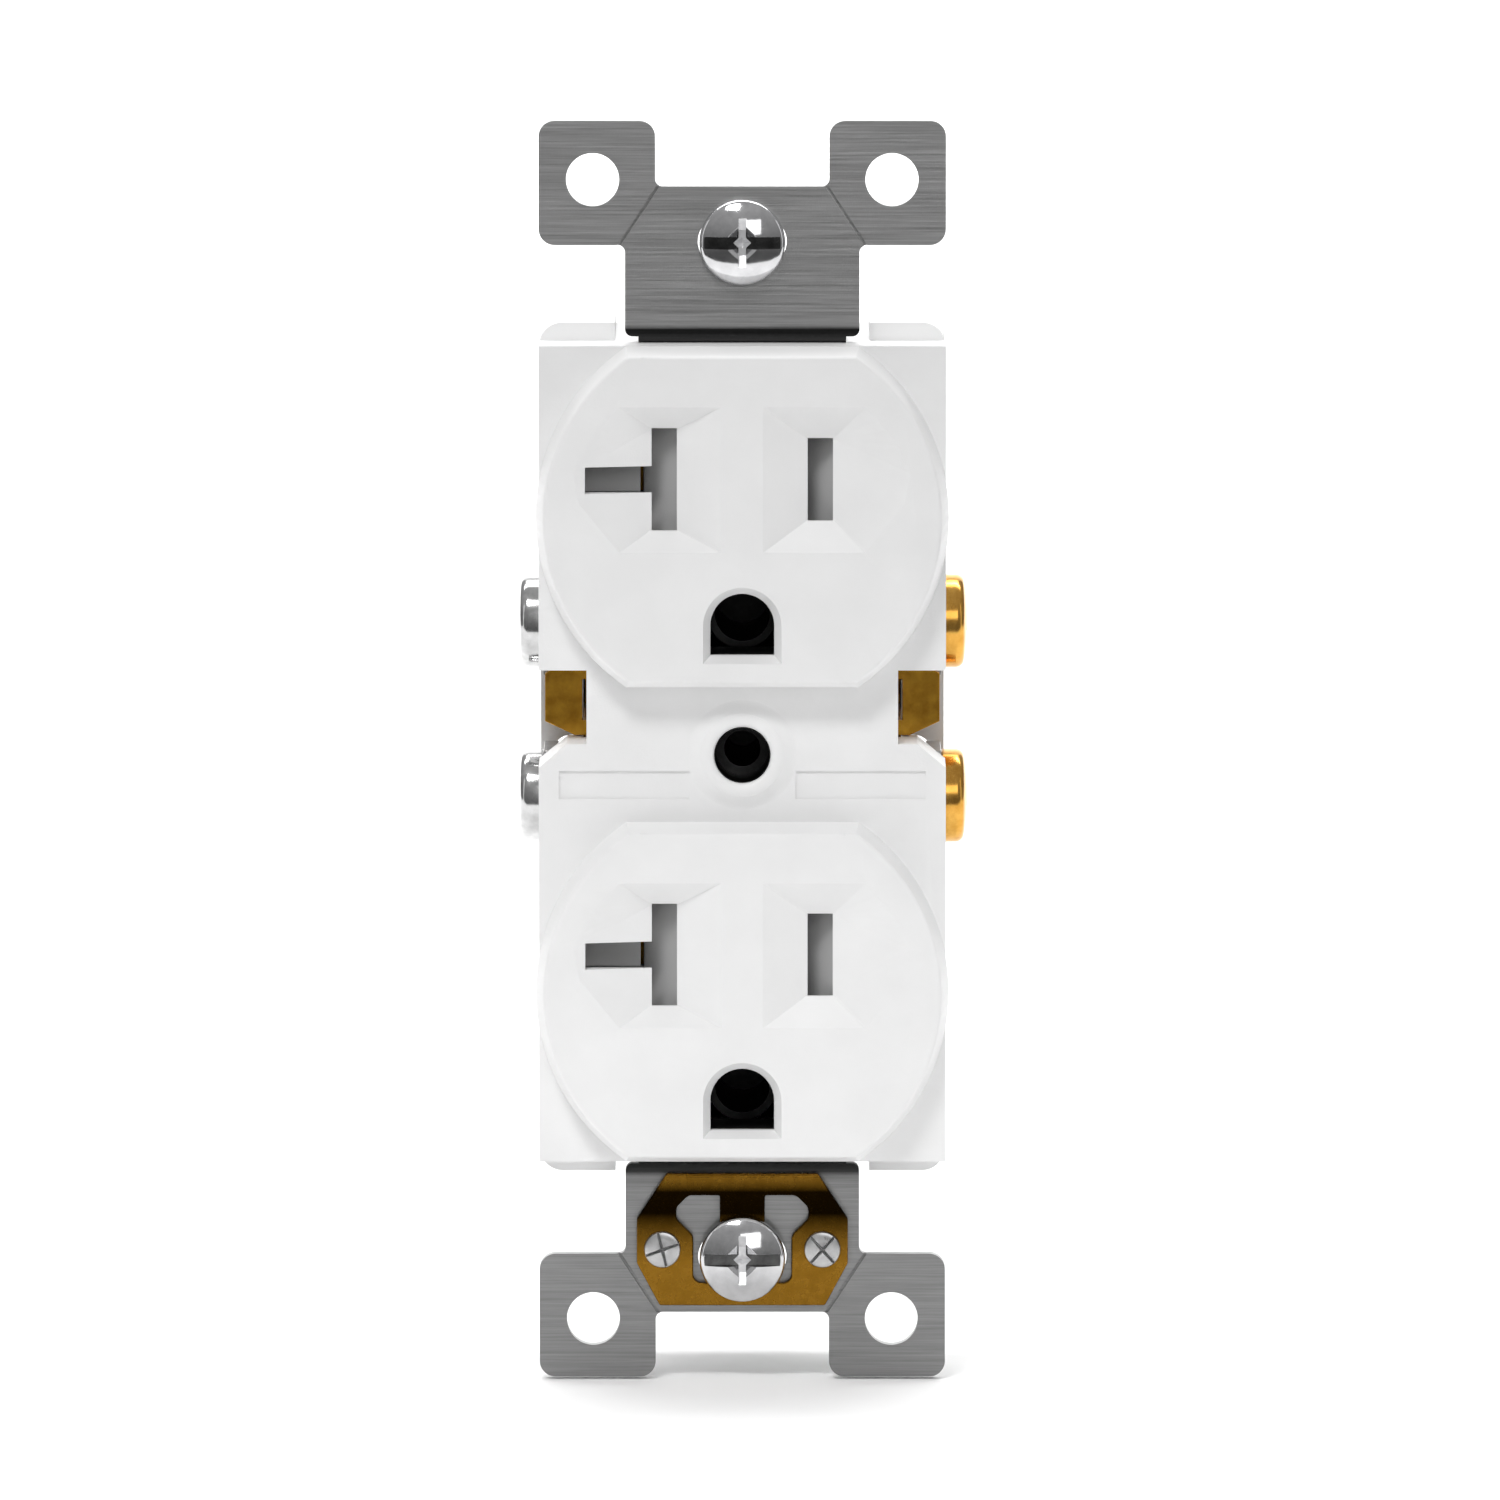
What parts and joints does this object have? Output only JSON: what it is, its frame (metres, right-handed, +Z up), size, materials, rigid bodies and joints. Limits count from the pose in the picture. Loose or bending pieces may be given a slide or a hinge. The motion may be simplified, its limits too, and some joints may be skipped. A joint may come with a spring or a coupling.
{
  "type": "duplex wall outlet",
  "caption": "Duplex wall outlet with grounded T-slot faces, sliding safety shutters, side terminal screws and a metal mounting strap with plaster ears.",
  "frame": {"origin": "centre between the two box screws, on the strap's rear face, which is the wall plane", "axes": "+Z up the long axis, +X to the right seen from the front, +Y into the wall box; the faces look along -Y"},
  "size_m": [0.037, 0.0296, 0.1032],
  "materials": {
    "white_nylon": "satin",
    "galvanised_steel": "brushed",
    "brass": "satin",
    "brass_screw": "bright",
    "nickel": "bright",
    "bright_zinc": "bright",
    "zinc_steel": "satin",
    "green_steel": "gloss",
    "shutter_grey": "matt",
    "black_plastic": "matt",
    "spring_steel": "satin",
    "dark_steel": "satin",
    "fibre": "matt"
  },
  "bodies": {
    "device": {"face_cover": "white_nylon", "back_body": "white_nylon", "assembly_screws": "zinc_steel", "mounting_strap": "galvanised_steel", "self_grounding_clip": "brass", "clip_rivets": "zinc_steel", "neutral_bus": "brass", "hot_bus": "brass", "contact_rivets": "brass", "ground_contact_strip": "dark_steel", "ground_sleeve_upper": "dark_steel", "ground_sleeve_lower": "dark_steel", "plate_screw_post": "dark_steel", "upper_shutter_carrier": "shutter_grey", "lower_shutter_carrier": "shutter_grey", "upper_shutter_spring": "spring_steel", "lower_shutter_spring": "spring_steel", "upper_ground_liner": "black_plastic", "lower_ground_liner": "black_plastic", "neutral_contact_upper": "brass", "hot_contact_upper": "brass", "neutral_contact_lower": "brass", "hot_contact_lower": "brass"},
    "neutral_clamp_upper": {"neutral_clamp_upper": "zinc_steel"},
    "neutral_screw_upper": {"neutral_screw_upper": "nickel"},
    "neutral_clamp_lower": {"neutral_clamp_lower": "zinc_steel"},
    "neutral_screw_lower": {"neutral_screw_lower": "nickel"},
    "hot_clamp_upper": {"hot_clamp_upper": "zinc_steel"},
    "hot_screw_upper": {"hot_screw_upper": "brass_screw"},
    "hot_clamp_lower": {"hot_clamp_lower": "zinc_steel"},
    "hot_screw_lower": {"hot_screw_lower": "brass_screw"},
    "ground_clamp": {"ground_clamp": "zinc_steel"},
    "ground_screw": {"ground_screw": "green_steel"},
    "upper_screw_retainer": {"upper_screw_retainer": "fibre"},
    "upper_mounting_screw": {"upper_mounting_screw": "bright_zinc"},
    "lower_screw_retainer": {"lower_screw_retainer": "fibre"},
    "lower_mounting_screw": {"lower_mounting_screw": "bright_zinc"},
    "upper_shutter": {"upper_shutter": "shutter_grey"},
    "upper_arm_flap": {"upper_arm_flap": "shutter_grey"},
    "lower_shutter": {"lower_shutter": "shutter_grey"},
    "lower_arm_flap": {"lower_arm_flap": "shutter_grey"}
  },
  "joints": [
    {"name": "neutral_upper_clamp_slide", "type": "slide", "parent": "device", "child": "neutral_clamp_upper", "axis": [1, 0, 0], "range_m": [0, 0.00159]},
    {"name": "neutral_upper_screw_turn", "type": "hinge", "parent": "neutral_clamp_upper", "child": "neutral_screw_upper", "pos_m": [-0.01635, 0.008, 0.0098], "axis": [1, 0, 0], "range_deg": [0, 720]},
    {"name": "neutral_lower_clamp_slide", "type": "slide", "parent": "device", "child": "neutral_clamp_lower", "axis": [1, 0, 0], "range_m": [0, 0.00159]},
    {"name": "neutral_lower_screw_turn", "type": "hinge", "parent": "neutral_clamp_lower", "child": "neutral_screw_lower", "pos_m": [-0.01635, 0.008, -0.0046], "axis": [1, 0, 0], "range_deg": [0, 720]},
    {"name": "hot_upper_clamp_slide", "type": "slide", "parent": "device", "child": "hot_clamp_upper", "axis": [-1, 0, 0], "range_m": [0, 0.00159]},
    {"name": "hot_upper_screw_turn", "type": "hinge", "parent": "hot_clamp_upper", "child": "hot_screw_upper", "pos_m": [0.01635, 0.008, 0.0098], "axis": [-1, 0, 0], "range_deg": [0, 720]},
    {"name": "hot_lower_clamp_slide", "type": "slide", "parent": "device", "child": "hot_clamp_lower", "axis": [-1, 0, 0], "range_m": [0, 0.00159]},
    {"name": "hot_lower_screw_turn", "type": "hinge", "parent": "hot_clamp_lower", "child": "hot_screw_lower", "pos_m": [0.01635, 0.008, -0.0046], "axis": [-1, 0, 0], "range_deg": [0, 720]},
    {"name": "ground_clamp_slide", "type": "slide", "parent": "device", "child": "ground_clamp", "axis": [0, 0, 1], "range_m": [0, 0.00119]},
    {"name": "ground_screw_turn", "type": "hinge", "parent": "ground_clamp", "child": "ground_screw", "pos_m": [0.0056, 0.008, -0.0363], "axis": [0, 0, 1], "range_deg": [0, 540]},
    {"name": "upper_mounting_play", "type": "slide", "parent": "device", "child": "upper_screw_retainer", "axis": [1, 0, 0], "range_m": [-0.0011, 0.0011]},
    {"name": "upper_mounting_turn", "type": "hinge", "parent": "upper_screw_retainer", "child": "upper_mounting_screw", "pos_m": [0, 0, 0.04167], "axis": [0, 1, 0], "continuous": true},
    {"name": "lower_mounting_play", "type": "slide", "parent": "device", "child": "lower_screw_retainer", "axis": [1, 0, 0], "range_m": [-0.0011, 0.0011]},
    {"name": "lower_mounting_turn", "type": "hinge", "parent": "lower_screw_retainer", "child": "lower_mounting_screw", "pos_m": [0, 0, -0.04167], "axis": [0, 1, 0], "continuous": true},
    {"name": "upper_shutter_slide", "type": "slide", "parent": "device", "child": "upper_shutter", "axis": [1, 0, 0], "range_m": [0, 0.003], "stiffness_N_per_m": 150, "springref_m": -0.002, "deforming": ["upper_shutter_spring"]},
    {"name": "upper_arm_flap_hinge", "type": "hinge", "parent": "device", "child": "upper_arm_flap", "pos_m": [-0.0136, -0.0032, 0.02265], "axis": [0, 0, 1], "range_deg": [0, 60], "stiffness_Nm_per_rad": 0.0002, "springref_deg": -11.46},
    {"name": "lower_shutter_slide", "type": "slide", "parent": "device", "child": "lower_shutter", "axis": [1, 0, 0], "range_m": [0, 0.003], "stiffness_N_per_m": 150, "springref_m": -0.002, "deforming": ["lower_shutter_spring"]},
    {"name": "lower_arm_flap_hinge", "type": "hinge", "parent": "device", "child": "lower_arm_flap", "pos_m": [-0.0136, -0.0032, -0.01625], "axis": [0, 0, 1], "range_deg": [0, 60], "stiffness_Nm_per_rad": 0.0002, "springref_deg": -11.46}
  ],
  "couplings": [
    {"joint": "neutral_upper_screw_turn", "follows": "neutral_upper_clamp_slide", "rad_per_m": 7913.3},
    {"joint": "neutral_lower_screw_turn", "follows": "neutral_lower_clamp_slide", "rad_per_m": 7913.3},
    {"joint": "hot_upper_screw_turn", "follows": "hot_upper_clamp_slide", "rad_per_m": 7913.3},
    {"joint": "hot_lower_screw_turn", "follows": "hot_lower_clamp_slide", "rad_per_m": 7913.3},
    {"joint": "ground_screw_turn", "follows": "ground_clamp_slide", "rad_per_m": 7913.3}
  ]
}
